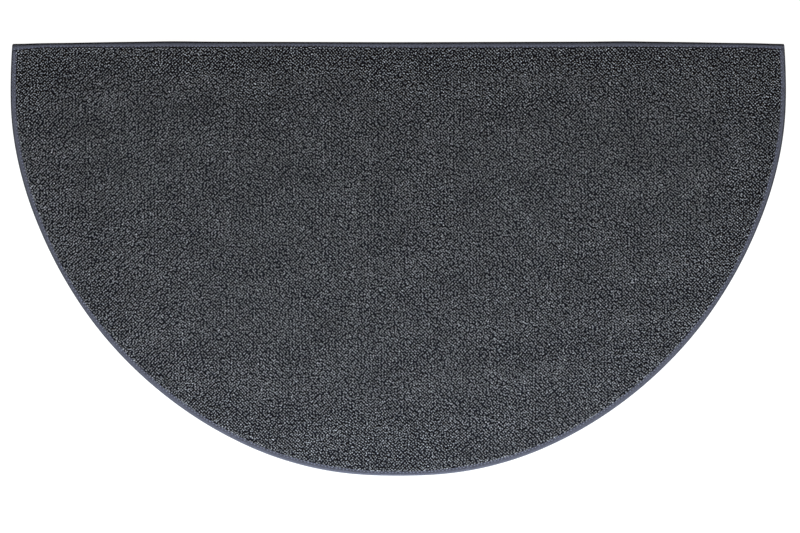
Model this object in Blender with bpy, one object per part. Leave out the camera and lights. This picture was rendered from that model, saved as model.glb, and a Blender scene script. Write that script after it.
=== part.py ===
"""Half round hearth rug: one tufted carpet, bound round its edge with two lengths of woven tape.

Metres, +Z up. The rug lies flat with its underside at z = 0. X runs along the straight edge,
which faces +Y, and the curved edge bows towards -Y.
"""

import bisect
import math

import bmesh
import bpy

# Driving dimensions of the rug
RUG_DEPTH = 0.6837
CENTRE_FROM_STRAIGHT_EDGE = 0.0540
PILE_HEIGHT = 0.0085
BOUND_HEIGHT = 0.0070
TAPE_THICK = 0.0010
TAPE_UNDER = 0.0090
TOP_SHOULDER = 0.0030
UNDER_SHOULDER = 0.0022
UNDER_RAMP = 0.0011
CUT_EDGE_ROUND = 0.0018
PILE_ROUND = 0.0065

# How the pieces lie against each other
GAP = 0.0003
SLACK = 0.00005
CLEAR = TAPE_THICK + GAP + SLACK
STRAIGHT_TAPE_STOPS = 0.0010
LAP_START = 0.0094
LAP_RAMP = 0.0060
LAP_DROOP = 0.8

# How finely the curves are stepped
ARC_STEPS = 90
STRAIGHT_STEPS = 22
SHOULDER_STEPS = 4
ARC_NEAR_END = (0.0, 0.0007, 0.0014, 0.0022, 0.0060)
STRAIGHT_NEAR_END = (0.0, 0.0010, 0.0020, 0.0045, 0.0085, 0.0100, 0.0120, 0.0140, 0.0200)

# The curved edge, from just above the right corner down to its lowest point. The angle is
# measured down from +X, and the last column is the width of tape that shows from above.
ANGLE, RADIUS, ARC_SEEN = range(3)
ARC_HALF = (
    (-6, 0.6092, 0.0086),
    (0, 0.6097, 0.0086),
    (8, 0.6127, 0.0086),
    (16, 0.6135, 0.0082),
    (24, 0.6136, 0.0078),
    (32, 0.6151, 0.0067),
    (40, 0.6178, 0.0080),
    (48, 0.6205, 0.0082),
    (56, 0.6237, 0.0083),
    (64, 0.6273, 0.0082),
    (72, 0.6305, 0.0079),
    (80, 0.6314, 0.0077),
    (90, 0.6297, 0.0059),
)
ARC = ARC_HALF + tuple((180 - row[ANGLE], *row[RADIUS:]) for row in reversed(ARC_HALF[:-1]))

# The straight edge from left to right: the place along it, how far it falls short of its
# highest line there, and the width of tape that shows from above.
PLACE, DROP, STRAIGHT_SEEN = range(3)
STRAIGHT = (
    (-0.612, 0.0046, 0.0086),
    (-0.560, 0.0030, 0.0081),
    (-0.520, 0.0025, 0.0080),
    (-0.460, 0.0014, 0.0090),
    (-0.400, 0.0006, 0.0096),
    (-0.356, 0.0000, 0.0097),
    (-0.300, 0.0005, 0.0095),
    (-0.150, 0.0010, 0.0080),
    (0.000, 0.0014, 0.0094),
    (0.150, 0.0010, 0.0097),
    (0.300, 0.0005, 0.0096),
    (0.356, 0.0000, 0.0096),
    (0.400, 0.0006, 0.0094),
    (0.460, 0.0014, 0.0088),
    (0.520, 0.0025, 0.0080),
    (0.560, 0.0030, 0.0079),
    (0.612, 0.0046, 0.0085),
)

# Base colour and roughness of each material
CARPET_FINISH = ((0.052, 0.056, 0.063, 1.0), 0.95)
TAPE_FINISH = ((0.085, 0.092, 0.130, 1.0), 0.80)


def along(rows, column, where):
    """A column of a table anywhere along its first one, read as one smooth curve."""
    places = [row[0] for row in rows]
    last = len(rows) - 1
    i = min(max(bisect.bisect_right(places, where) - 1, 0), last - 1)
    span = places[i + 1] - places[i]
    t = (where - places[i]) / span

    def slope(k):
        before, after = max(k - 1, 0), min(k + 1, last)
        return (rows[after][column] - rows[before][column]) / (places[after] - places[before])

    start, end = rows[i][column], rows[i + 1][column]
    rise = start + (end - start) * t * t * (3 - 2 * t)
    return rise + span * t * (1 - t) * (slope(i) * (1 - t) - slope(i + 1) * t)


def arc_point(angle, inset):
    """A point of the curved edge, moved in along the edge's normal.

    An inset is a pair: how many widths of the tape that shows, and metres more than that.
    """
    step = 0.05
    radius = along(ARC, RADIUS, angle)
    swell = along(ARC, RADIUS, angle + step) - along(ARC, RADIUS, angle - step)
    slope = swell / math.radians(2 * step)
    widths, more = inset
    depth = (widths * along(ARC, ARC_SEEN, angle) + more) / math.hypot(radius, slope)
    outward, sideways = radius * (1 - depth), slope * depth
    turn = math.radians(angle)
    centre_y = RUG_DEPTH / 2 - CENTRE_FROM_STRAIGHT_EDGE
    return (
        outward * math.cos(turn) - sideways * math.sin(turn),
        centre_y - outward * math.sin(turn) - sideways * math.cos(turn),
    )


def straight_y(x, inset):
    widths, more = inset
    return RUG_DEPTH / 2 - along(STRAIGHT, DROP, x) - widths * along(STRAIGHT, STRAIGHT_SEEN, x) - more


def corner_angle(arc_inset, straight_inset):
    """The angle at which the curved edge meets the straight one, each moved in by its inset."""
    above, below = ARC_HALF[0][ANGLE], 30.0
    for _ in range(40):
        middle = (above + below) / 2
        x, y = arc_point(middle, arc_inset)
        if y > straight_y(x, straight_inset):
            above = middle
        else:
            below = middle
    return middle


def arc_row(arc_inset, straight_inset):
    """Points along the curved edge from its right corner to its left one, closer at its ends."""
    corner = corner_angle(arc_inset, straight_inset)
    end_radius = ARC_HALF[0][RADIUS]
    near_end = [corner + math.degrees(d / end_radius) for d in ARC_NEAR_END]
    first = near_end[-1]
    turn = (180 - 2 * first) / ARC_STEPS
    middle = [first + turn * i for i in range(1, ARC_STEPS)]
    angles = near_end + middle + [180 - angle for angle in reversed(near_end)]
    return [arc_point(angle, arc_inset) for angle in angles]


def straight_row(arc_inset, straight_inset):
    """Points along the straight edge from its left corner to its right one, closer at the laps."""
    half, _ = arc_point(corner_angle(arc_inset, straight_inset), arc_inset)
    near_end = [half - d for d in STRAIGHT_NEAR_END]
    last = near_end[-1]
    middle = [last * (1 - 2 * i / STRAIGHT_STEPS) for i in range(1, STRAIGHT_STEPS)]
    places = near_end + middle + [-x for x in reversed(near_end)]
    return [(x, straight_y(x, straight_inset)) for x in reversed(places)]


def tape_section():
    """The tape's folded shape across the edge, as pairs of inset and height, round its outline."""
    def shoulders(radius_top, radius_under, skin):
        low, high = [], []
        for i in range(SHOULDER_STEPS + 1):
            turn = math.pi / 2 * i / SHOULDER_STEPS
            inward, down = 1 - math.sin(turn), 1 - math.cos(turn)
            low.append(((0, skin + radius_under * inward), skin + radius_under * down))
            high.append(((0, skin + radius_top * down), BOUND_HEIGHT - skin - radius_top * inward))
        return low + high

    outside = shoulders(TOP_SHOULDER, UNDER_SHOULDER, 0.0)
    inside = shoulders(TOP_SHOULDER - TAPE_THICK, UNDER_SHOULDER - TAPE_THICK, TAPE_THICK)
    under_edge, top_edge = (0, TAPE_UNDER), (1, 0.0)
    return (
        [(under_edge, 0.0)]
        + outside
        + [(top_edge, BOUND_HEIGHT), (top_edge, BOUND_HEIGHT - TAPE_THICK)]
        + inside[::-1]
        + [(under_edge, TAPE_THICK)]
    )


def carpet_section():
    """The carpet's edge from its underside up to the pile, as pairs of inset and height."""
    under_tape = BOUND_HEIGHT - CLEAR
    outline, tape_edge = 0, 1
    rounded = CUT_EDGE_ROUND
    return [
        ((outline, TAPE_UNDER + GAP + UNDER_RAMP), 0.0),
        ((outline, TAPE_UNDER + GAP), CLEAR),
        ((outline, CLEAR + rounded), CLEAR),
        ((outline, CLEAR + rounded / 4), CLEAR + rounded / 3),
        ((outline, CLEAR), CLEAR + rounded),
        ((outline, CLEAR), under_tape - rounded),
        ((outline, CLEAR + rounded / 3), under_tape - rounded / 3),
        ((outline, CLEAR + rounded), under_tape),
        ((tape_edge, GAP), under_tape),
        ((tape_edge, GAP + SLACK), BOUND_HEIGHT),
        ((tape_edge, 0.2 * PILE_ROUND), PILE_HEIGHT - 0.12 * PILE_ROUND),
        ((tape_edge, 0.5 * PILE_ROUND), PILE_HEIGHT - 0.03 * PILE_ROUND),
        ((tape_edge, PILE_ROUND), PILE_HEIGHT),
    ]


def round_drop(inset, radius):
    """How far a shoulder of this radius has fallen away from its top, this near to the edge."""
    short = min(max(TOP_SHOULDER - inset, 0.0), radius)
    return radius - math.sqrt(radius * radius - short * short)


def pressed(x, y, height):
    """A height on the curved tape, pressed down where its ends lie inside the straight tape's fold."""
    from_edge = straight_y(x, (0, 0)) - y
    fold = TOP_SHOULDER - CLEAR
    top = BOUND_HEIGHT - round_drop(from_edge, fold)
    upper = max(height - UNDER_SHOULDER, 0.0)
    return height - upper * (BOUND_HEIGHT - top) / (BOUND_HEIGHT - UNDER_SHOULDER)


def lapped(from_arc, height):
    """A height on the straight tape, which climbs over the curved one and down its shoulder."""
    t = min(max((LAP_START + LAP_RAMP - from_arc) / LAP_RAMP, 0.0), 1.0)
    climb = CLEAR * t * t * (3 - 2 * t) - LAP_DROOP * round_drop(from_arc, TOP_SHOULDER)
    wall = BOUND_HEIGHT - TOP_SHOULDER - UNDER_SHOULDER
    return height + climb * min(max((height - UNDER_SHOULDER) / wall, 0.0), 1.0)


def material(name, finish):
    colour, roughness = finish
    made = bpy.data.materials.new(name)
    made.use_nodes = True
    shader = made.node_tree.nodes["Principled BSDF"]
    shader.inputs["Base Color"].default_value = colour
    shader.inputs["Roughness"].default_value = roughness
    shader.inputs["Metallic"].default_value = 0.0
    return made


def lofted(name, loops, finish):
    """One closed body through a row of closed loops, with its first and last loop as end faces."""
    mesh = bpy.data.meshes.new(name)
    body = bmesh.new()
    rings = [[body.verts.new(point) for point in loop] for loop in loops]
    for ring, following in zip(rings, rings[1:]):
        for i, corner in enumerate(ring):
            body.faces.new((ring[i - 1], corner, following[i], following[i - 1]))
    body.faces.new(rings[0])
    body.faces.new(reversed(rings[-1]))
    bmesh.ops.recalc_face_normals(body, faces=body.faces)
    body.to_mesh(mesh)
    body.free()
    mesh.shade_smooth()
    mesh.set_sharp_from_angle(angle=math.radians(40))
    made = bpy.data.objects.new(name, mesh)
    bpy.context.scene.collection.objects.link(made)
    mesh.materials.append(finish)
    return made


def make_carpet(finish):
    """The tufted sheet, rebated above and below where the tapes fold round it."""
    loops = []
    for inset, height in carpet_section():
        curved = arc_row(inset, inset)
        straight = straight_row(inset, inset)
        loops.append([(x, y, height) for x, y in curved + straight[1:-1]])
    return lofted("carpet", loops, finish)


def make_arc_tape(finish):
    """The tape folded round the curved edge. Its two ends lie inside the straight tape."""
    rows = []
    for inset, height in tape_section():
        points = arc_row(inset, (0, CLEAR))
        rows.append([(x, y, pressed(x, y, height)) for x, y in points])
    return lofted("binding_arc", list(zip(*rows)), finish)


def make_straight_tape(finish):
    """The tape folded round the straight edge, climbing over the curved one at both corners."""
    rows = []
    for inset, height in tape_section():
        points = straight_row((0, STRAIGHT_TAPE_STOPS), inset)
        arc_x = points[-1][0] + STRAIGHT_TAPE_STOPS
        rows.append([(x, y, lapped(arc_x - abs(x), height)) for x, y in points])
    tape = lofted("binding_straight", list(zip(*rows)), finish)
    for side in (-1, 1):
        cut_under_leg(tape, side)
    return tape


def cut_under_leg(tape, side):
    """Trims the tape's underside at a corner, so that it meets the curved tape's edge to edge."""
    corner_x, corner_y = arc_point(corner_angle((0, 0), (0, 0)), (0, 0))
    inner_x = corner_x - TAPE_UNDER - 2 * GAP
    outer_x = corner_x + TAPE_UNDER
    wall_y = corner_y - TAPE_THICK - SLACK
    inner_y = wall_y - 2 * TAPE_UNDER
    low, high = -TAPE_THICK, BOUND_HEIGHT / 2
    mesh = bpy.data.meshes.new("under_leg_cutter")
    block = bmesh.new()
    bmesh.ops.create_cube(block, size=1.0)
    for corner in block.verts:
        corner.co.x = side * (outer_x if corner.co.x * side > 0 else inner_x)
        corner.co.y = wall_y if corner.co.y > 0 else inner_y
        corner.co.z = high if corner.co.z > 0 else low
    block.to_mesh(mesh)
    block.free()
    cutter = bpy.data.objects.new("under_leg_cutter", mesh)
    cutter.hide_render = True
    cutter.display_type = "WIRE"
    bpy.context.scene.collection.objects.link(cutter)
    cut = tape.modifiers.new("under leg", "BOOLEAN")
    cut.operation = "DIFFERENCE"
    cut.object = cutter


def main():
    for old in list(bpy.data.objects):
        bpy.data.objects.remove(old, do_unlink=True)
    woven_tape = material("binding_tape", TAPE_FINISH)
    make_carpet(material("pile", CARPET_FINISH))
    make_arc_tape(woven_tape)
    make_straight_tape(woven_tape)


main()
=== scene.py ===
# %% [markdown]
# # A half round hearth rug
#
# This lesson dresses a plain solid model of a hearth rug. The real rug is a piece of tufted loop
# pile carpet, cut to a half round, with woven tape folded over its cut edge and sewn through.
# The solids already have the right outline and thickness. Here they get their real surface:
# thousands of small yarn loops, the ribs and puckers of the tape, and the stitches.
#
# Everything is in metres. X runs along the straight edge, +Y points towards it, +Z is up, and
# the underside of the rug is at z = 0.

# %% Load the solids
import math

import bpy
import numpy as np
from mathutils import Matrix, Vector


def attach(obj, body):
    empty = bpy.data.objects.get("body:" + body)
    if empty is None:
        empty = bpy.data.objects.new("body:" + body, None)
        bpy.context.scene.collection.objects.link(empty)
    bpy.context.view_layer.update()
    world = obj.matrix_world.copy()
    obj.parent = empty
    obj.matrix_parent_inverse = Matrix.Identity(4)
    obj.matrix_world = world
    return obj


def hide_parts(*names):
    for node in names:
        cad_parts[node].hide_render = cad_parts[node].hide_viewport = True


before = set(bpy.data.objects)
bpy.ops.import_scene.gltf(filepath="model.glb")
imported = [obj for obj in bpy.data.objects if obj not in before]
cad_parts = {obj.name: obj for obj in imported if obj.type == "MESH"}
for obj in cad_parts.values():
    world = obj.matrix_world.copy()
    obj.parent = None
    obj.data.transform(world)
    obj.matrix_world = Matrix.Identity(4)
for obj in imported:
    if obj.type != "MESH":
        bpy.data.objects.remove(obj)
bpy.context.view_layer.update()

# %% [markdown]
# ## The camera
#
# The rug was photographed from straight above, from far enough away that nothing leans. A long
# lens high over the rug does the same. The lens follows from the width of floor that the picture
# takes in: focal length is to sensor width as height is to that width. A camera with no rotation
# looks straight down with +Y at the top of the picture, which is how the rug lies.

# %% Camera
PHOTO_WIDTH_PX = 800
METRES_PER_PX = 0.0015748
VIEW_CENTRE = (0.0027, -0.01255)
VIEW_HEIGHT = 4.0
SENSOR_MM = 36.0

view_width = PHOTO_WIDTH_PX * METRES_PER_PX
camera = bpy.data.objects.new("camera", bpy.data.cameras.new("camera"))
bpy.context.scene.collection.objects.link(camera)
camera.location = (*VIEW_CENTRE, VIEW_HEIGHT)
camera.data.sensor_width = SENSOR_MM
camera.data.lens = SENSOR_MM * VIEW_HEIGHT / view_width
camera.data.clip_end = 50.0
bpy.context.scene.camera = camera
print(f"the picture takes in {view_width:.3f} m with a {camera.data.lens:.0f} mm lens")

# %% [markdown]
# ## Light and floor
#
# The picture's light comes mostly from below the curved edge, low over the floor: that end of the
# rug is brighter and a little bluer, the loops throw small shadows, and the outer shoulder of the
# straight edge is dark. One large soft lamp stands on that side, and a second one hangs overhead.
# The floor is plain and glows, as a lit studio table does, which keeps it white where the rug
# would shade it. Its own grey is dark, so that little of the lamps' light comes back from it onto
# the edge of the rug. The sky lights the rug only faintly, but the camera sees it white, so a low
# view has no dark band behind the floor. The Standard view transform leaves white as it is.

# %% Lamps
WINDOW = {"place": (0.0, -1.9, 1.05), "size": (2.6, 0.9), "watts": 158, "colour": (0.84, 0.97, 1.13)}
OVERHEAD = {"place": (0.0, 0.3, 5.0), "size": (2.4, 2.4), "watts": 46, "colour": (1.25, 1.0, 0.72)}
SKY_STRENGTH = 0.05

bpy.context.scene.view_settings.view_transform = "Standard"


def soft_lamp(name, place, size, watts, colour):
    """A large rectangular lamp that shines at the middle of the floor."""
    lamp = bpy.data.lights.new(name, "AREA")
    lamp.shape = "RECTANGLE"
    lamp.size, lamp.size_y = size
    lamp.energy = watts
    lamp.color = colour
    holder = bpy.data.objects.new(name, lamp)
    holder.location = place
    holder.rotation_euler = (-Vector(place)).to_track_quat("-Z", "Y").to_euler()
    bpy.context.scene.collection.objects.link(holder)


soft_lamp("window", **WINDOW)
soft_lamp("overhead", **OVERHEAD)
world = bpy.data.worlds.new("studio")
world.use_nodes = True
sky = world.node_tree
backdrop = sky.nodes["Background"].inputs
backdrop["Color"].default_value = (1.0, 1.0, 1.0, 1.0)
ray = sky.nodes.new("ShaderNodeLightPath")
strength = sky.nodes.new("ShaderNodeMath")
strength.operation = "MAXIMUM"
strength.inputs[1].default_value = SKY_STRENGTH
sky.links.new(ray.outputs["Is Camera Ray"], strength.inputs[0])
sky.links.new(strength.outputs[0], backdrop["Strength"])
bpy.context.scene.world = world
print(f"window at {WINDOW['watts']} W, overhead at {OVERHEAD['watts']} W")

# %% Floor
FLOOR_HALF = 7.0
FLOOR_COLOUR = (0.15, 0.15, 0.15, 1.0)
FLOOR_GLOW = 0.97

floor_mesh = bpy.data.meshes.new("floor")
corner_signs = ((-1, -1), (1, -1), (1, 1), (-1, 1))
floor_corners = [(across * FLOOR_HALF, along * FLOOR_HALF, 0.0) for across, along in corner_signs]
floor_mesh.from_pydata(floor_corners, [], [(0, 1, 2, 3)])
floor = bpy.data.objects.new("floor", floor_mesh)
bpy.context.scene.collection.objects.link(floor)
floor_paint = bpy.data.materials.new("floor_paint")
floor_paint.use_nodes = True
paint = floor_paint.node_tree.nodes["Principled BSDF"].inputs
paint["Base Color"].default_value = FLOOR_COLOUR
paint["Roughness"].default_value = 0.9
paint["Specular IOR Level"].default_value = 0.1
paint["Emission Color"].default_value = (1.0, 1.0, 1.0, 1.0)
paint["Emission Strength"].default_value = FLOOR_GLOW
floor_mesh.materials.append(floor_paint)
print(f"floor: {2 * FLOOR_HALF:.0f} m square, glow {FLOOR_GLOW}")

# %% [markdown]
# ## The rug's outline
#
# Each part of the rug is placed from its outline: the tape so far in from it, the pile inside the
# tape. The curved edge isn't a true circle, so it is a short table of radii by angle, and the
# straight edge is a table of how far it falls short of its highest line. A third column says how
# wide the tape shows. One helper reads any column as a smooth curve, for a whole array of places
# at once, which is what makes thousands of tufts quick to place.

# %% Outline tables
RUG_DEPTH = 0.6837
CENTRE_Y = RUG_DEPTH / 2 - 0.0540

WIDEST_CORNER = 30.0
HALVINGS = 40

ANGLE, RADIUS, ARC_SEEN = range(3)
ARC_HALF = (
    (-6, 0.6092, 0.0086),
    (0, 0.6097, 0.0086),
    (8, 0.6127, 0.0086),
    (16, 0.6135, 0.0082),
    (24, 0.6136, 0.0078),
    (32, 0.6151, 0.0067),
    (40, 0.6178, 0.0080),
    (48, 0.6205, 0.0082),
    (56, 0.6237, 0.0083),
    (64, 0.6273, 0.0082),
    (72, 0.6305, 0.0079),
    (80, 0.6314, 0.0081),
    (90, 0.6297, 0.0068),
)
ARC = ARC_HALF + tuple((180 - row[ANGLE], *row[RADIUS:]) for row in reversed(ARC_HALF[:-1]))

PLACE, DROP, STRAIGHT_SEEN = range(3)
STRAIGHT = (
    (-0.612, 0.0046, 0.0106),
    (-0.590, 0.0039, 0.0098),
    (-0.560, 0.0030, 0.0081),
    (-0.520, 0.0025, 0.0080),
    (-0.460, 0.0014, 0.0090),
    (-0.400, 0.0006, 0.0096),
    (-0.356, 0.0000, 0.0097),
    (-0.300, 0.0005, 0.0095),
    (-0.150, 0.0010, 0.0080),
    (0.000, 0.0014, 0.0094),
    (0.150, 0.0010, 0.0097),
    (0.300, 0.0005, 0.0096),
    (0.356, 0.0000, 0.0096),
    (0.400, 0.0006, 0.0094),
    (0.460, 0.0014, 0.0088),
    (0.520, 0.0025, 0.0080),
    (0.560, 0.0030, 0.0080),
    (0.590, 0.0039, 0.0086),
    (0.612, 0.0046, 0.0092),
)


def along(table, column, where):
    """A column of a table anywhere along its first one, read as one smooth curve."""
    rows = np.array(table)
    places, values = rows[:, 0], rows[:, column]
    slopes = np.empty_like(values)
    slopes[1:-1] = (values[2:] - values[:-2]) / (places[2:] - places[:-2])
    slopes[0] = (values[1] - values[0]) / (places[1] - places[0])
    slopes[-1] = (values[-1] - values[-2]) / (places[-1] - places[-2])
    i = np.clip(np.searchsorted(places, where, side="right") - 1, 0, len(places) - 2)
    span = places[i + 1] - places[i]
    t = (where - places[i]) / span
    rise = values[i] + (values[i + 1] - values[i]) * t * t * (3 - 2 * t)
    return rise + span * t * (1 - t) * (slopes[i] * (1 - t) - slopes[i + 1] * t)


# %% Points on the outline
# An inset is a pair: how many widths of the tape that shows, and metres more than that.
def arc_lean(angle):
    """How fast the radius grows with the angle, which tilts the edge's normal a little."""
    step = 0.05  # degrees
    swell = along(ARC, RADIUS, angle + step) - along(ARC, RADIUS, angle - step)
    return swell / math.radians(2 * step)


def arc_point(angle, inset):
    """A point of the curved edge, moved in along its normal. The angle runs down from +X."""
    radius, lean = along(ARC, RADIUS, angle), arc_lean(angle)
    widths, more = inset
    depth = (widths * along(ARC, ARC_SEEN, angle) + more) / np.hypot(radius, lean)
    outward, sideways = radius * (1 - depth), lean * depth
    turn = np.radians(angle)
    x = outward * np.cos(turn) - sideways * np.sin(turn)
    y = CENTRE_Y - outward * np.sin(turn) - sideways * np.cos(turn)
    return x, y


def straight_y(x, inset):
    """Y of the straight edge at some places along X, moved in by the inset."""
    widths, more = inset
    return RUG_DEPTH / 2 - along(STRAIGHT, DROP, x) - widths * along(STRAIGHT, STRAIGHT_SEEN, x) - more


def corner_angle(arc_inset, straight_inset):
    """The angle at which the curved edge meets the straight one, each moved in by its inset."""
    above, below = ARC_HALF[0][ANGLE], WIDEST_CORNER
    for _ in range(HALVINGS):
        middle = (above + below) / 2
        x, y = arc_point(middle, arc_inset)
        if y > straight_y(x, straight_inset):
            above = middle
        else:
            below = middle
    return middle


corner_x, corner_y = arc_point(corner_angle((0, 0), (0, 0)), (0, 0))
print(f"the corners are at x = +-{corner_x:.4f}, y = {corner_y:.4f}")

# %% [markdown]
# ## Building a mesh from arrays
#
# Blender can be asked for one loop of yarn at a time, but there are about fifty thousand, so
# numpy works out all their corners together and one call makes the mesh. A piece of many small
# parts also gets a flat map, with a cell of its own for each of them, so that its colours can be
# stored as an image later without two parts sharing a spot.

# %% Mesh helper
MAP_NAME = "OFBake"


def new_piece(name, points, faces, map_points=None, smooth=True):
    """A mesh object from its points and its faces. map_points has one pair for each face corner."""
    mesh = bpy.data.meshes.new(name)
    mesh.from_pydata(points, [], faces)
    if smooth:
        mesh.shade_smooth()
    if map_points is not None:
        layer = mesh.uv_layers.new(name=MAP_NAME)
        layer.uv.foreach_set("vector", np.asarray(map_points, np.float32).ravel())
    if mesh.validate():
        print(name, "had faces that needed mending")
    piece = bpy.data.objects.new(name, mesh)
    bpy.context.scene.collection.objects.link(piece)
    return piece


def paint_points(piece, attribute, values):
    """Stores one number for each point of a mesh, which a material can read by its name."""
    layer = piece.data.attributes.new(attribute, "FLOAT", "POINT")
    layer.data.foreach_set("value", np.asarray(values, np.float32).ravel())


def triangles(piece):
    """How many triangles the faces of a piece come to."""
    return sum(len(face.vertices) - 2 for face in piece.data.polygons)


# %% [markdown]
# ## The ground of the carpet
#
# Tufted carpet is a woven ground cloth with yarn pushed through it, held by glue and a second,
# coarser cloth underneath. Seen from above it is only the dark floor between the loops. It could
# be a flat plate, but its rim is pressed thinner where the tape folds round it, so it is lofted
# through a few closed outlines, from the underside round the cut edge and up to the pile.

# %% Thicknesses
PILE_HEIGHT = 0.0085
BOUND_HEIGHT = 0.0070
TAPE_THICK = 0.0010
TAPE_UNDER = 0.0090
TOP_SHOULDER = 0.0030
UNDER_SHOULDER = 0.0022
UNDER_RAMP = 0.0011
CUT_EDGE_ROUND = 0.0018
GAP = 0.0003
SLACK = 0.00005
CLEAR = TAPE_THICK + GAP + SLACK
UNDER_TAPE = BOUND_HEIGHT - CLEAR
GROUND_TOP = 0.0050
GROUND_DIP = 0.0011
DIP_STARTS = 0.0035
DIP_LOWEST = 0.0017
PILE_STARTS = 0.0020
GROUND_STEPS = 300

# Each row is an inset and a height. The ground dips under the tape's inner edge, which is sewn down.
GROUND_SECTION = (
    ((0, TAPE_UNDER + GAP + UNDER_RAMP), 0.0),
    ((0, TAPE_UNDER + GAP), CLEAR),
    ((0, CLEAR + CUT_EDGE_ROUND), CLEAR),
    ((0, CLEAR + CUT_EDGE_ROUND / 4), CLEAR + CUT_EDGE_ROUND / 3),
    ((0, CLEAR), CLEAR + CUT_EDGE_ROUND),
    ((0, CLEAR), UNDER_TAPE - CUT_EDGE_ROUND),
    ((0, CLEAR + CUT_EDGE_ROUND / 3), UNDER_TAPE - CUT_EDGE_ROUND / 3),
    ((0, CLEAR + CUT_EDGE_ROUND), UNDER_TAPE),
    ((1, -DIP_STARTS), UNDER_TAPE - GROUND_DIP / 2),
    ((1, -DIP_LOWEST), UNDER_TAPE - GROUND_DIP),
    ((1, PILE_STARTS), GROUND_TOP),
)


# %% Loft the ground
def closed_outline(inset, height):
    """Points right round the rug, curved edge first, all at one inset and one height."""
    corner = corner_angle(inset, inset)
    x_arc, y_arc = arc_point(np.linspace(corner, 180 - corner, GROUND_STEPS), inset)
    x_line = np.linspace(x_arc[-1], x_arc[0], GROUND_STEPS // 2)[1:-1]
    x = np.concatenate([x_arc, x_line])
    y = np.concatenate([y_arc, straight_y(x_line, inset)])
    return np.column_stack([x, y, np.full(len(x), height)])


outlines = [closed_outline(inset, height) for inset, height in GROUND_SECTION]
ring_size = len(outlines[0])
ground_faces = [tuple(reversed(range(ring_size)))]
for ring in range(len(outlines) - 1):
    start = ring * ring_size
    for i in range(ring_size):
        j = (i + 1) % ring_size
        ground_faces.append((start + i, start + j, start + ring_size + j, start + ring_size + i))
last_ring = (len(outlines) - 1) * ring_size
ground_faces.append(tuple(range(last_ring, last_ring + ring_size)))
ground = new_piece("carpet_ground", np.concatenate(outlines), ground_faces, smooth=False)


def turned_outwards(piece):
    """Makes every face look outwards, by the sign of the volume that the mesh encloses."""
    mesh = piece.data
    mesh.calc_loop_triangles()
    volume = 0.0
    for face in mesh.loop_triangles:
        a, b, c = (mesh.vertices[i].co for i in face.vertices)
        volume += a.dot(b.cross(c)) / 6
    if volume < 0:
        mesh.flip_normals()
    return abs(volume)


print(f"ground: {triangles(ground)} triangles, {turned_outwards(ground) * 1e6:.0f} cm3")

# %% [markdown]
# ## Where the loops stand
#
# A tufting machine has a row of needles side by side, so the loops stand in straight columns that
# run from the straight edge to the curved one, about a tenth of an inch apart. Every other column
# is half a step behind and a hair nearer to its neighbour. Each loop lies aslant in its column.
# Most of them lean one way near the left end of the rug and the other way over the rest, with
# small patches that differ, which gives the short slanting strokes in the picture. The regular grid
# drifts a little and gets a small seeded wobble, because yarn is never quite even. Loops next to
# the tape are pushed clear of it, turned along its edge and pressed a little lower.

# %% Soft random patches
PATCH_WAVES = 14
WAVE_STRETCH = (1.4, 3.0)


def soft_patches(x, y, size, seed):
    """A smooth random field from about -1 to 1, whose patches are about this many metres wide."""
    waves = np.random.default_rng(seed)
    total = np.zeros_like(x)
    for _ in range(PATCH_WAVES):
        turn, start = waves.uniform(0, 2 * math.pi, 2)
        stretch = 2 * math.pi / (size * waves.uniform(*WAVE_STRETCH))
        total += np.sin(stretch * (x * math.cos(turn) + y * math.sin(turn)) + start)
    return total / math.sqrt(PATCH_WAVES / 2)


# %% Tuft places
GRID_HALF = (0.62, 0.35)
COLUMN_PITCH = 0.002585
ROW_PITCH = 0.0050
COLUMN_SHIFT = 0.00030
PLACE_WOBBLE = 0.00058
DRIFT = (0.0004, 0.0010)
DRIFT_PATCH = 0.045
PILE_MARGIN = 0.0011
EDGE_REACH = 0.0013
SEED = 27

chance = np.random.default_rng(SEED)
column_places = np.arange(-GRID_HALF[0], GRID_HALF[0], COLUMN_PITCH)
row_places = np.arange(-GRID_HALF[1], GRID_HALF[1], ROW_PITCH)
column_of, row_of = (grid.ravel() for grid in np.indices((column_places.size, row_places.size)))
tuft_x = column_places[column_of] - (column_of % 2) * COLUMN_SHIFT
tuft_y = row_places[row_of] + (column_of % 2) * ROW_PITCH / 2
drift_x, drift_y = (soft_patches(tuft_x, tuft_y, DRIFT_PATCH, SEED + 5 + axis) for axis in range(2))
tuft_x += DRIFT[0] * drift_x + chance.normal(0, PLACE_WOBBLE, column_of.size)
tuft_y += DRIFT[1] * drift_y + chance.normal(0, PLACE_WOBBLE, row_of.size)


def depth_in_pile(x, y):
    """How far a place lies inside the tape's inner edge, and the direction of the nearest edge."""
    angle = np.degrees(np.arctan2(CENTRE_Y - y, x))
    angle = np.clip(angle, ARC_HALF[0][ANGLE], 180 - ARC_HALF[0][ANGLE])
    radius, lean = along(ARC, RADIUS, angle), arc_lean(angle)
    square_on = radius / np.hypot(radius, lean)
    from_arc = (radius - np.hypot(x, y - CENTRE_Y)) * square_on - along(ARC, ARC_SEEN, angle)
    from_line = straight_y(x, (1, 0)) - y
    inward_arc = np.radians(angle)
    curved = from_arc < from_line
    inward_x = np.where(curved, -np.cos(inward_arc), 0.0)
    inward_y = np.where(curved, np.sin(inward_arc), -1.0)
    return np.minimum(from_arc, from_line), inward_x, inward_y


depth, inward_x, inward_y = depth_in_pile(tuft_x, tuft_y)
kept = depth > PILE_MARGIN - EDGE_REACH
tuft_x, tuft_y, column_of, depth, inward_x, inward_y = (
    values[kept] for values in (tuft_x, tuft_y, column_of, depth, inward_x, inward_y)
)
push = np.maximum(PILE_MARGIN - depth, 0.0)
tuft_x = tuft_x + push * inward_x
tuft_y = tuft_y + push * inward_y
depth = depth + push
print(f"{tuft_x.size} loops in columns {COLUMN_PITCH * 1000:.2f} mm apart")


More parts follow.
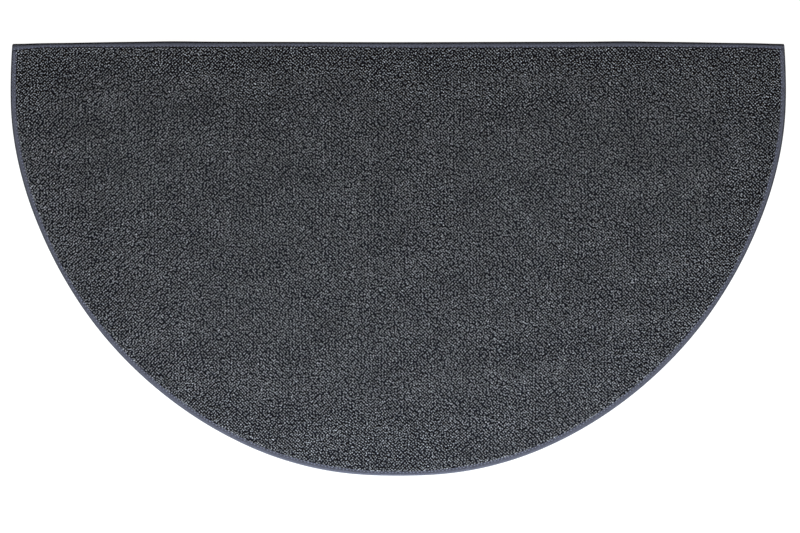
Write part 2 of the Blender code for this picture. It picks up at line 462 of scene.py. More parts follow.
# %% Lean and height of each loop
LEAN_PATCH = 0.012
LEAN_ANGLE = math.radians(44)
LEAN_WOBBLE = math.radians(12)
LEAN_MIX = 0.80
LEAN_BIAS = 0.80
BRUSHED_FROM = -0.30
BRUSHED_SOFT = 0.08
EDGE_TURN = 0.0024
PILE_ROUND = 0.0065
EDGE_SINK = 0.0005
HEIGHT_WOBBLE = 0.00045

patch = soft_patches(tuft_x, tuft_y, LEAN_PATCH, SEED + 1)
brushed = LEAN_BIAS * np.clip((tuft_x - BRUSHED_FROM) / BRUSHED_SOFT, -1, 1)
way = np.where(patch + chance.normal(0, LEAN_MIX, tuft_x.size) > brushed, 1, -1)
lean = way * LEAN_ANGLE + chance.normal(0, LEAN_WOBBLE, tuft_x.size)
edge_direction = np.arctan2(inward_x, -inward_y) + chance.normal(0, LEAN_WOBBLE, lean.size)
lean = np.where(depth < EDGE_TURN, edge_direction, lean)
sunk = EDGE_SINK * (1 - np.clip(depth / PILE_ROUND, 0, 1)) ** 2
tuft_top = PILE_HEIGHT - sunk - np.abs(chance.normal(0, HEIGHT_WOBBLE, lean.size))
print(f"{np.mean(way > 0):.0%} of the loops lean one way, tops at {tuft_top.mean() * 1000:.2f} mm")

# %% [markdown]
# ## One loop of yarn, many times
#
# Each loop is a short low arch of thick yarn. It has a crown of four points, four points along its
# flanks and two feet in the ground cloth, and smooth shading rounds it. That is 16 triangles a
# loop, few enough for every loop of the rug to be real. The two ends of a crown stand at slightly
# different heights, which keeps the loops from looking stamped. The pile is cut into a few pieces
# from left to right.

# %% Loop shape
LOOP_LENGTH = 0.0032
LOOP_WIDTH = 0.0019
FLANK_DROP = 0.0016
CROWN_HALF = 0.27
CROWN_WIDE = 0.22
FLANK_HALF = 0.40
LENGTH_SPREAD = 0.10
WIDTH_SPREAD = 0.12
CROWN_TILT = 0.00035
ROOT = GROUND_TOP - 0.0004

# Along the loop as a share of its length, across it as a share of its width, and the share of
# the way up: 0 is the foot, 1 the flank's level and 2 the crown's.
ALONG, ACROSS, LEVEL = range(3)
LOOP_SHAPE = np.array([
    (-0.5, 0.0, 0),
    (-CROWN_HALF, CROWN_WIDE, 2),
    (-CROWN_HALF, -CROWN_WIDE, 2),
    (-FLANK_HALF, 0.5, 1),
    (-FLANK_HALF, -0.5, 1),
    (CROWN_HALF, CROWN_WIDE, 2),
    (CROWN_HALF, -CROWN_WIDE, 2),
    (FLANK_HALF, 0.5, 1),
    (FLANK_HALF, -0.5, 1),
    (0.5, 0.0, 0),
])
FOOT_A, CROWN_LEFT_A, CROWN_RIGHT_A, LEFT_A, RIGHT_A = range(5)
CROWN_LEFT_B, CROWN_RIGHT_B, LEFT_B, RIGHT_B, FOOT_B = range(5, 10)
LOOP_FACES = (
    (CROWN_RIGHT_A, CROWN_RIGHT_B, CROWN_LEFT_B, CROWN_LEFT_A),
    (CROWN_LEFT_A, CROWN_LEFT_B, LEFT_B, LEFT_A),
    (CROWN_RIGHT_B, CROWN_RIGHT_A, RIGHT_A, RIGHT_B),
    (LEFT_A, LEFT_B, RIGHT_B, RIGHT_A),
    (FOOT_A, RIGHT_A, CROWN_RIGHT_A),
    (FOOT_A, CROWN_RIGHT_A, CROWN_LEFT_A),
    (FOOT_A, CROWN_LEFT_A, LEFT_A),
    (FOOT_A, LEFT_A, RIGHT_A),
    (FOOT_B, LEFT_B, CROWN_LEFT_B),
    (FOOT_B, CROWN_LEFT_B, CROWN_RIGHT_B),
    (FOOT_B, CROWN_RIGHT_B, RIGHT_B),
    (FOOT_B, RIGHT_B, LEFT_B),
)

# %% Points of every loop
length = LOOP_LENGTH * (1 + chance.normal(0, LENGTH_SPREAD, tuft_x.size))
width = LOOP_WIDTH * (1 + chance.normal(0, WIDTH_SPREAD, tuft_x.size))
tilt = chance.normal(0, CROWN_TILT, tuft_x.size)[:, None]
reach = length[:, None] * LOOP_SHAPE[:, ALONG]
aside = width[:, None] * LOOP_SHAPE[:, ACROSS]
flank, crown = (LOOP_SHAPE[:, LEVEL] == level for level in (1, 2))
height = np.full(reach.shape, ROOT)
height = np.where(flank, (tuft_top - FLANK_DROP)[:, None], height)
height = np.where(crown, tuft_top[:, None] - np.abs(tilt) + tilt * np.sign(reach), height)
cos_lean, sin_lean = np.cos(lean)[:, None], np.sin(lean)[:, None]
loop_points = np.stack([
    tuft_x[:, None] + reach * cos_lean - aside * sin_lean,
    tuft_y[:, None] + reach * sin_lean + aside * cos_lean,
    height,
], axis=2)
print("points in a loop:", loop_points.shape[1])

# %% A cell of the map for each small part
MAP_FILL = 0.9


def face_cells(faces):
    """Lays the faces of one small part side by side in rows of a unit square."""
    across = math.ceil(math.sqrt(len(faces)))
    layout = []
    for number, face in enumerate(faces):
        row, column = divmod(number, across)
        corners = ((0.0, 0.0), (MAP_FILL, 0.0), (MAP_FILL, MAP_FILL), (0.0, MAP_FILL))[: len(face)]
        layout += [((column + u) / across, (row + v) / across) for u, v in corners]
    return layout


def repeated_faces(faces, points_each, count):
    """The faces of one small part, repeated for each copy."""
    return [tuple(i + copy * points_each for i in face) for copy in range(count) for face in faces]


def repeated_map(layout, count):
    """A cell of the map for each copy, in a square of cells."""
    one = np.array(layout) * MAP_FILL
    across = math.ceil(math.sqrt(count))
    copy = np.arange(count)
    cell = np.stack([copy % across, copy // across], axis=1)
    return ((cell[:, None, :] + one[None, :, :]) / across).reshape(-1, 2)


# %% [markdown]
# ## The colour of each loop
#
# The yarn is heathered: every tuft is spun from a mix of nearly black, charcoal and grey strands,
# so neighbours differ a good deal while the whole reads as one dark grey. Each loop gets a tone
# of its own, kept on its points, plus a faint drift over patches and along the needle columns.
# Loops next to the tape catch more light, and that light is painted on them as a lighter tone. A
# second number on each point says how far up the loop it is, for the painted shade between the loops.

# %% Tones and pile pieces
TONE_SPREAD = 0.25
PATCH_DRIFT = 0.04
TONE_PATCH = 0.05
RIM_PAINTED_LIGHT = 0.15
COLUMN_DRIFT = 0.05
PILE_PIECES = 5

column_tone = chance.normal(0, COLUMN_DRIFT, column_places.size)
tone_and_rim_light = chance.normal(0, TONE_SPREAD, tuft_x.size) + column_tone[column_of]
tone_and_rim_light += PATCH_DRIFT * soft_patches(tuft_x, tuft_y, TONE_PATCH, SEED + 2)
# Painted light: loops near the tape get a lighter tone, for the light that they catch.
tone_and_rim_light += RIM_PAINTED_LIGHT * (1 - np.clip(depth / PILE_ROUND, 0, 1))

pile = []
order = np.argsort(tuft_x, kind="stable")
points_each = len(LOOP_SHAPE)
for number, share in enumerate(np.array_split(order, PILE_PIECES)):
    piece = new_piece(
        f"pile_{number + 1}",
        loop_points[share].reshape(-1, 3),
        repeated_faces(LOOP_FACES, points_each, share.size),
        repeated_map(face_cells(LOOP_FACES), share.size),
    )
    paint_points(piece, "tone_and_rim_light", np.repeat(tone_and_rim_light[share], points_each))
    paint_points(piece, "lift", np.tile(LOOP_SHAPE[:, LEVEL] / 2, share.size))
    pile.append(piece)
    print(f"{piece.name}: {share.size} loops, {triangles(piece)} triangles")

# %% [markdown]
# ## The woven tape
#
# Binding tape is a narrow band folded lengthwise over the cut edge: a leg on top, a leg below and
# a rounded fold outside. Its section is a U, swept along the outline. Sewing holds the inner edge
# down all along, and draws both legs together at every stitch, so the sweep has stations close
# enough together to show the puckers. The straight tape is sewn on last, and it climbs over the
# ends of the curved one at both corners.

# %% Tape section
SHOULDER_STEPS = 5
STITCH_INSET = 0.0017
PUCKER_HALF = 0.0011
SEWN_DOWN = 0.0006


def shoulder(radius, skin, steps, low):
    """A quarter round of the fold as rows of the section, from its lower end upwards."""
    found = []
    for i in range(steps + 1):
        turn = math.pi / 2 * i / steps
        if low:
            inset = skin + radius * (1 - math.sin(turn))
            height = skin + radius * (1 - math.cos(turn))
        else:
            inset = skin + radius * (1 - math.cos(turn))
            height = BOUND_HEIGHT - skin - radius * (1 - math.sin(turn))
        found.append(((0, inset), height, 0.0))
    return found


def sewn(height, down, sign):
    """Points across a leg at the row of stitches, pressed down, each with its share of the pucker."""
    # Metres from the tape's inner edge, share of the pressing down, share of the pucker.
    shares = (
        (-STITCH_INSET - PUCKER_HALF, 0.4, 0.3),
        (-STITCH_INSET, 1.0, 1.0),
        (-STITCH_INSET + PUCKER_HALF, 1.0, 0.6),
    )
    return [((1, more), height - down * sink, sign * share) for more, sink, share in shares]


# The section runs round the tape: inset, height, and how much the stitches move it up or down.
under_leg = [((0, TAPE_UNDER), 0.0, 0.0)] + sewn(0.0, 0.0, 1)[::-1]
low_shoulder = shoulder(UNDER_SHOULDER, 0.0, SHOULDER_STEPS, True)
fold = low_shoulder + shoulder(TOP_SHOULDER, 0.0, SHOULDER_STEPS, False)
inner_edge = [((1, 0.0), BOUND_HEIGHT - SEWN_DOWN - low, 0.0) for low in (0.0, TAPE_THICK)]
upper_leg = sewn(BOUND_HEIGHT, SEWN_DOWN, -1) + inner_edge
lining_side = (
    shoulder(UNDER_SHOULDER - TAPE_THICK, TAPE_THICK, 2, True)
    + shoulder(TOP_SHOULDER - TAPE_THICK, TAPE_THICK, 2, False)
)
SECTION = under_leg + fold + upper_leg + lining_side[::-1] + [((0, TAPE_UNDER), TAPE_THICK, 0.0)]
FOLD_FROM, FOLD_TO = len(under_leg), len(under_leg) + len(fold)
SELVEDGE = (FOLD_TO + len(upper_leg) - 2, FOLD_TO + len(upper_leg) - 1)
print("points round the tape's section:", len(SECTION))


# %% How the tapes lie at the corners
LAP_START = 0.0094
LAP_RAMP = 0.0060
LAP_DROOP = 0.8
STRAIGHT_TAPE_STOPS = 0.0010
print(f"the straight tape climbs {CLEAR * 1000:.2f} mm over the curved one")


def round_drop(inset, radius):
    """How far a shoulder of this radius has fallen away from its top, this near to the edge."""
    short = np.clip(TOP_SHOULDER - inset, 0.0, radius)
    return radius - np.sqrt(radius * radius - short * short)


def pressed(x, y, height):
    """A height on the curved tape, pressed down where its ends lie inside the straight tape."""
    top = BOUND_HEIGHT - round_drop(straight_y(x, (0, 0)) - y, TOP_SHOULDER - CLEAR)
    upper = np.maximum(height - UNDER_SHOULDER, 0.0)
    return height - upper * (BOUND_HEIGHT - top) / (BOUND_HEIGHT - UNDER_SHOULDER)


def lapped(from_arc, height):
    """A height on the straight tape, which climbs over the curved one and down its shoulder."""
    t = np.clip((LAP_START + LAP_RAMP - from_arc) / LAP_RAMP, 0.0, 1.0)
    climb = CLEAR * t * t * (3 - 2 * t) - LAP_DROOP * round_drop(from_arc, TOP_SHOULDER)
    wall = BOUND_HEIGHT - TOP_SHOULDER - UNDER_SHOULDER
    return height + climb * np.clip((height - UNDER_SHOULDER) / wall, 0.0, 1.0)


# %% Stitch places
STITCH_PITCH = 0.0056
STITCH_WOBBLE = 0.00035
PUCKER = 0.00035
NEAR_END = (0.0, 0.0004, 0.0009, 0.0014, 0.0020, 0.0028)
TAPE_STEP = 0.0016
FIRST_STITCH = 0.6
LAST_STITCH = 0.5


def run_of(x, y):
    """Metres along a row of points, from its first one."""
    return np.concatenate([[0.0], np.cumsum(np.hypot(np.diff(x), np.diff(y)))])


def stitch_runs(length, seed):
    """Where the middle of each stitch lies, in metres along the row, with a small wobble."""
    wobble = np.random.default_rng(seed)
    middles = np.arange(STITCH_PITCH * FIRST_STITCH, length - STITCH_PITCH * LAST_STITCH, STITCH_PITCH)
    return middles + wobble.normal(0, STITCH_WOBBLE, middles.size)


def pull_of_stitches(run, middles):
    """From 0 between two stitches to 1 at the middle of one."""
    after = np.clip(np.searchsorted(middles, run), 1, middles.size - 1)
    nearest = np.minimum(np.abs(run - middles[after - 1]), np.abs(run - middles[after]))
    return np.cos(np.clip(nearest / STITCH_PITCH, 0, 0.5) * math.pi) ** 2


# %% Where a tape is dark
# The fold is painted dark, as painted shade, and the woven inner edge is darker. A tape's shades say
# how strong both are, how far in the fold's painted shade reaches, and how dark the whole tape is.
FOLD_SHADE_SOFT = 0.0022
LAP_SHADE_REACH = 0.0012


def paint_shades(piece, shades, run, pull):
    """Stores on a tape's points all that its finish reads."""
    stations, around = len(run), len(SECTION)
    # The fold's share of painted shade: full on its outer round, fading in past the reach.
    fold_painted_shade = [
        min(1.0, max(0.0, (shades["reach"] - inset[1]) / FOLD_SHADE_SOFT)) if FOLD_FROM <= i < FOLD_TO else 0.0
        for i, (inset, _, _) in enumerate(SECTION)
    ]
    edge_share = [shades["edge"] if i in SELVEDGE else 0.0 for i in range(around)]
    # Painted shade in the sewn groove along the stitches, strongest between them.
    groove_shade_share = [abs(share) if abs(share) == 1 else 0.0 for _, _, share in SECTION]
    shown = ARC_HALF[0][ARC_SEEN]
    section_line = np.array([(inset[0] * shown + inset[1], height) for inset, height, _ in SECTION])
    steps = np.hypot(*np.diff(section_line, axis=0).T)
    # How light or dark each whole tape is made.
    paint_points(piece, "tape_brightness", np.full(stations * around, shades["tape_brightness"]))
    paint_points(piece, "run", np.repeat(run, around))
    paint_points(piece, "across", np.tile(np.concatenate([[0.0], np.cumsum(steps)]), stations))
    paint_points(piece, "fold", np.outer(shades["fold"], fold_painted_shade))
    paint_points(piece, "selvedge", np.tile(edge_share, stations))
    paint_points(piece, "groove_shade", np.outer(1 - pull, groove_shade_share))


# %% Sweep a tape
MAP_ROWS = 12
CAP_PLACES = (0.1, 0.6)
CAP_WIDE = 0.02
SHARP = math.radians(50)


def sweep(name, rows, run, pull, shades):
    """Joins the rows of points round a tape's section into one closed skin."""
    around, stations = len(rows), len(run)
    points = np.array(rows).transpose(1, 0, 2).reshape(-1, 3)
    faces, layout = [], []
    in_row = math.ceil((stations - 1) / MAP_ROWS)
    for station in range(stations - 1):
        row, cell = divmod(station, in_row)
        left, right = cell / in_row, (cell + 1) / in_row
        here, there = station * around, (station + 1) * around
        for side in range(around):
            after = (side + 1) % around
            faces.append((here + side, here + after, there + after, there + side))
            low = (row + MAP_FILL * side / around) / MAP_ROWS
            high = (row + MAP_FILL * (side + 1) / around) / MAP_ROWS
            layout += [(left, low), (left, high), (right, high), (right, low)]
    faces.append(tuple(reversed(range(around))))
    faces.append(tuple(range((stations - 1) * around, stations * around)))
    top_gap = 1 - (1 - MAP_FILL) / MAP_ROWS / 2
    thin = (1 - MAP_FILL) / MAP_ROWS / 3
    ring = [2 * math.pi * i / around for i in range(around)]
    for left in CAP_PLACES:
        layout += [(left + CAP_WIDE * math.cos(t), top_gap + thin * math.sin(t)) for t in ring]
    piece = new_piece(name, points, faces, layout)
    volume = turned_outwards(piece)
    piece.data.set_sharp_from_angle(angle=SHARP)
    paint_shades(piece, shades, run, pull)
    print(f"{name}: {triangles(piece)} triangles, {volume * 1e6:.1f} cm3")
    return piece


# %% Curved tape
# Its fold's painted shade is darkest towards the corners, and the middle of the curve stays light.
FOLD_SHADE_AT_MIDDLE = 0.25
FOLD_SHADE_GROWTH = 1.1

arc_corner = corner_angle((0, 0), (0, CLEAR))
arc_length = math.radians(180 - 2 * arc_corner) * along(ARC, RADIUS, 90.0)
arc_stations = round(arc_length / TAPE_STEP)


def arc_angles(inset):
    """Angles of the tape's stations at one inset, a few of them close together at its ends."""
    corner = corner_angle(inset, (0, CLEAR))
    ends = corner + np.degrees(np.array(NEAR_END) / ARC_HALF[0][RADIUS])
    middle = np.linspace(ends[-1], 180 - ends[-1], arc_stations)[1:-1]
    return np.concatenate([ends, middle, (180 - ends)[::-1]])


stitch_line = (1, -STITCH_INSET)
arc_row = arc_point(arc_angles(stitch_line), stitch_line)
arc_run = run_of(*arc_row)
arc_stitches = stitch_runs(arc_run[-1], SEED + 3)
arc_pull = pull_of_stitches(arc_run, arc_stitches)
arc_skin = []
for inset, height, share in SECTION:
    x, y = arc_point(arc_angles(inset), inset)
    z = pressed(x, y, height + PUCKER * share * arc_pull)
    arc_skin.append(np.column_stack([x, y, z]))
from_middle = np.abs(arc_run / arc_run[-1] - 0.5) * 2
arc_fold_painted_shade = np.clip(FOLD_SHADE_AT_MIDDLE + FOLD_SHADE_GROWTH * from_middle, 0, 1)
arc_shades = {"fold": arc_fold_painted_shade, "reach": 0.0030, "edge": 0.40, "tape_brightness": 0.97}
arc_tape = sweep("curved_tape", arc_skin, arc_run, arc_pull, arc_shades)

# Painted shade on the curved tape where it goes under the straight one.
lap_shade = []
for skin in arc_skin:
    beside = np.maximum(straight_y(skin[:, 0], (1, 0)) - skin[:, 1], 0.0)
    lap_shade.append(np.exp(-beside / LAP_SHADE_REACH))
paint_points(arc_tape, "shade_at_lap", np.array(lap_shade).T)

# %% Straight tape
# At both corners the lower leg is trimmed, so that it meets the curved tape's edge to edge.
UNDER_LEG_STOPS = corner_x - TAPE_UNDER - 2 * GAP
UNDER_LEG_CUT = TAPE_THICK + SLACK
line_stations = round(2 * corner_x / TAPE_STEP)


def line_places(inset):
    """X of the tape's stations at one inset, a few of them close together at its ends."""
    outline = (0, STRAIGHT_TAPE_STOPS)
    ends = arc_point(corner_angle(outline, inset), outline)[0] - np.array(NEAR_END)
    middle = np.linspace(-ends[-1], ends[-1], line_stations)[1:-1]
    return np.concatenate([-ends, middle, ends[::-1]])


def from_curved_edge(x, inset):
    """How far places on the straight tape lie from the curved outline, along X."""
    return arc_point(corner_angle((0, 0), inset), (0, 0))[0] - np.abs(x)


line_x = line_places(stitch_line)
line_row = (line_x, straight_y(line_x, stitch_line))
line_run = run_of(*line_row)
line_stitches = stitch_runs(line_run[-1], SEED + 4)
line_pull = pull_of_stitches(line_run, line_stitches)
line_skin = []
for inset, height, share in SECTION:
    x = line_places(inset)
    y = straight_y(x, inset)
    if height < BOUND_HEIGHT / 2:
        trimmed = np.maximum(y, straight_y(x, (0, UNDER_LEG_CUT)))
        y = np.where(np.abs(x) > UNDER_LEG_STOPS, trimmed, y)
    z = lapped(from_curved_edge(x, inset), height + PUCKER * share * line_pull)
    line_skin.append(np.column_stack([x, y, z]))
# The straight tape's fold gets the full painted shade all along it.
line_shades = {"fold": np.ones(len(line_run)), "reach": 0.0040, "edge": 1.0, "tape_brightness": 0.84}
straight_tape = sweep("straight_tape", line_skin, line_run, line_pull, line_shades)

# %% [markdown]
# ## The stitches
#
# One row of lockstitch runs along each tape, near its inner edge, through both legs. On top each
# stitch is a short, fat, slightly domed length of thread, lighter than the tape, and the same row
# shows underneath, sunk into the lower leg so that the rug still lies flat. All of them are one
# shape, repeated and turned to follow the row.

# %% Stitch shape
STITCH_LENGTH = 0.0029
THREAD_WIDTH = 0.0011
THREAD_PROUD = 0.00035
STITCH_ARCH = tuple(math.radians(turn) for turn in (0, 40, 90, 140, 180))
THREAD_SIDES = 6
THREAD_END = 0.45


def stitch_shape():
    """Points of one stitch that lies along X, with its middle highest, and the faces round it."""
    points, faces = [], []
    for turn in STITCH_ARCH:
        thick = THREAD_WIDTH / 2 * (THREAD_END + (1 - THREAD_END) * math.sin(turn))
        middle = THREAD_PROUD * (2 * math.sin(turn) - 1) - THREAD_WIDTH / 2
        for side in range(THREAD_SIDES):
            spin = 2 * math.pi * side / THREAD_SIDES
            x = -math.cos(turn) * STITCH_LENGTH / 2
            points.append((x, thick * math.cos(spin), middle + thick * math.sin(spin)))
    for step in range(len(STITCH_ARCH) - 1):
        for side in range(THREAD_SIDES):
            after = (side + 1) % THREAD_SIDES
            here, there = step * THREAD_SIDES, (step + 1) * THREAD_SIDES
            faces.append((here + side, here + after, there + after, there + side))
    end = (len(STITCH_ARCH) - 1) * THREAD_SIDES
    for ring in (range(THREAD_SIDES)[::-1], range(end, end + THREAD_SIDES)):
        first, *others = ring
        faces += [(first, a, b) for a, b in zip(others, others[1:])]
    return np.array(points), faces


def stitch_piece(name, x, y, z, heading, upwards):
    """The stitches of one row in one mesh, each bowed up out of the tape, or down below it."""
    shape, faces = stitch_shape()
    cos_way, sin_way = np.cos(heading)[:, None], np.sin(heading)[:, None]
    placed = np.stack([
        x[:, None] + shape[:, 0] * cos_way - shape[:, 1] * sin_way,
        y[:, None] + shape[:, 0] * sin_way + shape[:, 1] * cos_way,
        z[:, None] + upwards * shape[:, 2],
    ], axis=2)
    piece = new_piece(
        name,
        placed.reshape(-1, 3),
        repeated_faces(faces, len(shape), x.size),
        repeated_map(face_cells(faces), x.size),
    )
    turned_outwards(piece)
    print(f"{name}: {x.size} stitches, {triangles(piece)} triangles")
    return piece


# %% Place the stitches
def places_along(row, run, middles):
    """Points and headings at some distances along a row of points."""
    near = 0.001
    x, y = (np.interp(middles, run, column) for column in row)
    rise = np.interp(middles + near, run, row[1]) - np.interp(middles - near, run, row[1])
    step = np.interp(middles + near, run, row[0]) - np.interp(middles - near, run, row[0])
    return x, y, np.arctan2(rise, step)


TOP_LEVEL = BOUND_HEIGHT - SEWN_DOWN - PUCKER + THREAD_PROUD
UNDER_LEVEL = THREAD_PROUD
arc_x, arc_y, arc_heading = places_along(arc_row, arc_run, arc_stitches)
line_at_x, line_at_y, line_heading = places_along(line_row, line_run, line_stitches)
uncovered = arc_y < straight_y(arc_x, (1, STITCH_LENGTH / 2))
whole_leg = np.abs(line_at_x) < UNDER_LEG_STOPS - STITCH_LENGTH / 2
line_level = lapped(from_curved_edge(line_at_x, stitch_line), np.full(line_at_x.size, TOP_LEVEL))
arc_level, arc_under = (np.full(arc_x.size, level) for level in (TOP_LEVEL, UNDER_LEVEL))
line_under = np.full(line_at_x.size, UNDER_LEVEL)
whole_row = np.full(line_at_x.size, True)
stitches = []
for name, x, y, z, heading, upwards, shown in (
    ("curved_top", arc_x, arc_y, arc_level, arc_heading, 1, uncovered),
    ("curved_under", arc_x, arc_y, arc_under, arc_heading, -1, uncovered),
    ("straight_top", line_at_x, line_at_y, line_level, line_heading, 1, whole_row),
    ("straight_under", line_at_x, line_at_y, line_under, line_heading, -1, whole_leg),
):
    placed = (column[shown] for column in (x, y, z, heading))
    stitches.append(stitch_piece("stitches_" + name, *placed, upwards))

# %% [markdown]
# ## Finishes
#
# Every finish is made of nodes, with no pictures. A helper sets up the shader with plain numbers
# on its own sockets, and each finish then adds what varies: colour from a tone or a weave, and a
# bump for fibres that are too fine to model.

# %% Finish helpers
SHEEN_SPREAD = 0.5
GLOSS = 0.2
BUMP_STRENGTH = 0.8


def new_finish(name, roughness, sheen):
    """A new material, its node tree and its shader."""
    finish = bpy.data.materials.new(name)
    finish.use_nodes = True
    shader = finish.node_tree.nodes["Principled BSDF"]
    shader.inputs["Roughness"].default_value = roughness
    shader.inputs["Sheen Weight"].default_value = sheen
    shader.inputs["Sheen Roughness"].default_value = SHEEN_SPREAD
    shader.inputs["Specular IOR Level"].default_value = GLOSS
    return finish, finish.node_tree, shader


def node(tree, kind, **settings):
    """A new node with its settings."""
    made = tree.nodes.new(kind)
    for name, value in settings.items():
        setattr(made, name, value)
    return made


def reading(tree, attribute):
    """The number that a mesh's points hold under this name, or 0 where they hold none."""
    made = node(tree, "ShaderNodeAttribute", attribute_name=attribute, attribute_type="GEOMETRY")
    return made.outputs["Fac"]


def combine(tree, operation, first, second):
    """A sum on two sockets or numbers. A third input keeps its own value, 0.5."""
    made = node(tree, "ShaderNodeMath", operation=operation)
    for socket, value in zip(made.inputs, (first, second)):
        if isinstance(value, (int, float)):
            socket.default_value = value
        else:
            tree.links.new(value, socket)
    return made.outputs[0]


def ripple(tree, distance, pitch):
    """A wave from -1 to 1 along a distance, with one crest in each pitch."""
    return combine(tree, "SINE", combine(tree, "MULTIPLY", distance, 2 * math.pi / pitch), 0)


def noise(tree, scale, detail=2.0):
    """Soft noise over the piece, with about this many blotches in a metre."""
    place = node(tree, "ShaderNodeTexCoord")
    made = node(tree, "ShaderNodeTexNoise")
    made.inputs["Scale"].default_value = scale
    made.inputs["Detail"].default_value = detail
    tree.links.new(place.outputs["Object"], made.inputs["Vector"])
    return made


def spread(tree, source, low, high):
    """Stretches a number from 0..1 to low..high."""
    made = node(tree, "ShaderNodeMapRange")
    made.inputs["To Min"].default_value = low
    made.inputs["To Max"].default_value = high
    tree.links.new(source, made.inputs["Value"])
    return made.outputs["Result"]


def tinted(tree, colour, factor):
    """A colour made lighter or darker by a number."""
    made = node(tree, "ShaderNodeVectorMath", operation="SCALE")
    if isinstance(colour, tuple):
        made.inputs[0].default_value = colour
    else:
        tree.links.new(colour, made.inputs[0])
    tree.links.new(factor, made.inputs["Scale"])
    return made.outputs["Vector"]


def bumped(tree, shader, height, distance):
    """Lets a number from the nodes raise the surface, by this distance in metres."""
    made = node(tree, "ShaderNodeBump")
    made.inputs["Distance"].default_value = distance
    made.inputs["Strength"].default_value = BUMP_STRENGTH
    tree.links.new(height, made.inputs["Height"])
    tree.links.new(made.outputs["Normal"], shader.inputs["Normal"])


print("helpers are ready for", len(pile), "pieces of pile and", len(stitches), "rows of stitches")

# %% [markdown]
# ## The yarn
#
# A heathered yarn could be painted from one noise, but then a loop would not stand out from its
# neighbour. Here the loop's own tone, which holds the painted light on loops next to the tape, and a
# finer noise for its strands are added, and the power of e turns the sum into lighter and darker by
# shares. Flanks and feet are painted darker than the crown, as painted shade, because the loops
# around them keep the light out.

# %% Yarn
YARN_GREY = (0.179, 0.176, 0.176)
STRAND_SIZE = 0.0026
STRAND_CONTRAST = 1.3
ROOT_SHADE = 0.02
FLANK_SHADE = 0.38
YARN_BUMP = 0.0004

yarn, tree, shader = new_finish("yarn", roughness=0.9, sheen=0.1)
strands = noise(tree, 1 / STRAND_SIZE)
strand_tone = spread(tree, strands.outputs["Fac"], -STRAND_CONTRAST, STRAND_CONTRAST)
tones_and_rim_light = combine(tree, "ADD", reading(tree, "tone_and_rim_light"), strand_tone)
depth_shade = node(tree, "ShaderNodeValToRGB")
tree.links.new(reading(tree, "lift"), depth_shade.inputs["Fac"])
levels = depth_shade.color_ramp.elements
levels[0].color = (ROOT_SHADE, ROOT_SHADE, ROOT_SHADE, 1.0)
levels[1].color = (1.0, 1.0, 1.0, 1.0)
middle = levels.new(0.5)
middle.color = (FLANK_SHADE, FLANK_SHADE, FLANK_SHADE, 1.0)
heather_and_rim_light = combine(tree, "POWER", math.e, tones_and_rim_light)
tone_with_painted_light = combine(tree, "MULTIPLY", heather_and_rim_light, depth_shade.outputs["Color"])
tree.links.new(tinted(tree, YARN_GREY, tone_with_painted_light), shader.inputs["Base Color"])
bumped(tree, shader, strands.outputs["Fac"], YARN_BUMP)
for piece in pile:
    piece.data.materials.append(yarn)
print("yarn on", len(pile), "pieces")

# %% [markdown]
# ## The ground cloth and the backing
#
# Both are on the lofted ground: the faces that look up are the dark cloth between the loops, and
# the others are the coarse jute cloth of the underside. Its open weave is two ripples multiplied,
# one along each axis, as a bump and as a faint change of tone.

# %% Ground cloth and backing
GROUND_COLOUR = (0.009, 0.009, 0.013)
GROUND_FLUFF = 600.0
BACKING_COLOUR = (0.30, 0.27, 0.22)
BACKING_FLUFF = 300.0
BACKING_PITCH = 0.0064
BACKING_CONTRAST = 0.25
BACKING_BUMP = 0.0004
LOOKS_UP = 0.1

ground_cloth, tree, shader = new_finish("ground_cloth", roughness=0.95, sheen=0.0)
fluff = spread(tree, noise(tree, GROUND_FLUFF).outputs["Fac"], 0.5, 1.5)
tree.links.new(tinted(tree, GROUND_COLOUR, fluff), shader.inputs["Base Color"])

backing, tree, shader = new_finish("backing", roughness=0.9, sheen=0.05)
over_cloth = node(tree, "ShaderNodeSeparateXYZ")
tree.links.new(node(tree, "ShaderNodeTexCoord").outputs["Object"], over_cloth.inputs[0])
warp, weft = (ripple(tree, over_cloth.outputs[axis], BACKING_PITCH) for axis in ("X", "Y"))
crossings = combine(tree, "MULTIPLY", warp, weft)
fluff = spread(tree, noise(tree, BACKING_FLUFF).outputs["Fac"], 0.8, 1.2)
jute_tone = combine(tree, "ADD", fluff, combine(tree, "MULTIPLY", crossings, BACKING_CONTRAST))
tree.links.new(tinted(tree, BACKING_COLOUR, jute_tone), shader.inputs["Base Color"])
bumped(tree, shader, crossings, BACKING_BUMP)

ground.data.materials.append(backing)
ground.data.materials.append(ground_cloth)
for face in ground.data.polygons:
    face.material_index = 1 if face.normal.z > LOOKS_UP else 0
print("the ground has", len(ground.data.materials), "finishes")
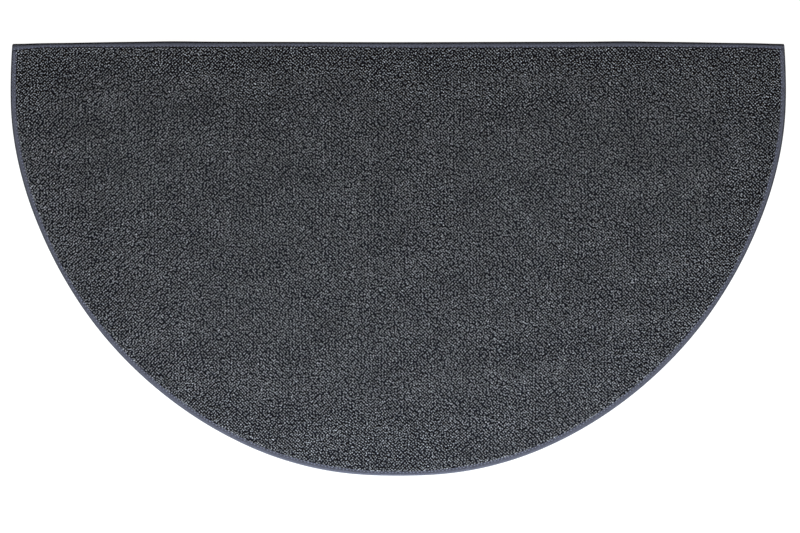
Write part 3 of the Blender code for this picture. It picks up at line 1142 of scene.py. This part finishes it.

# %% [markdown]
# ## The tape and the thread
#
# The tape is woven in fine ribs. Two ripples give them, one along the tape and one across it, both
# measured on the tape itself, so that they follow the curve, and a noise adds soft blotches. The
# painted shade on the fold, the darker inner edge, the painted shade in the stitch groove between
# stitches and the painted shade where one tape laps over the other are each a share stored on the
# points, and each darkens the tape's colour, which is then set lighter or darker for each tape. The
# thread is lighter and a little smoother.

# %% Tape and thread
TAPE_BLUE = (0.086, 0.0845, 0.104)
THREAD_BLUE = (0.19, 0.195, 0.25)
RIB_PITCH = 0.0012
CROSS_PITCH = 0.0016
FOLD_PAINTED_SHADE = 0.85
SELVEDGE_DARKER = 0.85
GROOVE_PAINTED_SHADE = 0.75
LAP_PAINTED_SHADE = 0.85
BLOTCHES = 160.0
PLIES = 900.0
WEAVE_BUMP = 0.0002

tape, tree, shader = new_finish("tape", roughness=0.8, sheen=0.03)
ribs = ripple(tree, reading(tree, "run"), RIB_PITCH)
crossing = ripple(tree, reading(tree, "across"), CROSS_PITCH)
weave = combine(tree, "MULTIPLY", ribs, crossing)
blotches = spread(tree, noise(tree, BLOTCHES).outputs["Fac"], 0.8, 1.2)
ribbed = spread(tree, combine(tree, "MULTIPLY_ADD", weave, 0.5), 0.85, 1.15)
shade = combine(tree, "MULTIPLY", ribbed, blotches)
# Painted shade on the fold, in the stitch groove and at the lap; the inner edge is just darker.
for attribute, darker in (
    ("fold", FOLD_PAINTED_SHADE),
    ("selvedge", SELVEDGE_DARKER),
    ("groove_shade", GROOVE_PAINTED_SHADE),
    ("shade_at_lap", LAP_PAINTED_SHADE),
):
    darkened = spread(tree, reading(tree, attribute), 1.0, 1 - darker)
    shade = combine(tree, "MULTIPLY", shade, darkened)
shade = combine(tree, "MULTIPLY", shade, reading(tree, "tape_brightness"))
tree.links.new(tinted(tree, TAPE_BLUE, shade), shader.inputs["Base Color"])
bumped(tree, shader, weave, WEAVE_BUMP)

thread, tree, shader = new_finish("thread", roughness=0.6, sheen=0.2)
plies = spread(tree, noise(tree, PLIES).outputs["Fac"], 0.8, 1.2)
tree.links.new(tinted(tree, THREAD_BLUE, plies), shader.inputs["Base Color"])
for piece in (arc_tape, straight_tape):
    piece.data.materials.append(tape)
for piece in stitches:
    piece.data.materials.append(thread)
print("tape and thread are on", 2 + len(stitches), "pieces")

# %% [markdown]
# ## Handing the pieces over
#
# The solids that the carpet and the tapes stand for are hidden, the outline along the cut edge is
# worked out, and every piece, the stitches too, is attached to the root body. The carpet lies flat,
# so nothing of it is stretched.


cut_line = closed_outline((0, CLEAR), 0.0)

# %% Hand over
for piece in (ground, *pile):
    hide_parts("carpet")
    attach(piece, "root")
for piece, solid in ((arc_tape, "binding_arc"), (straight_tape, "binding_straight")):
    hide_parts(solid)
    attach(piece, "root")
for piece in stitches:
    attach(piece, "root")
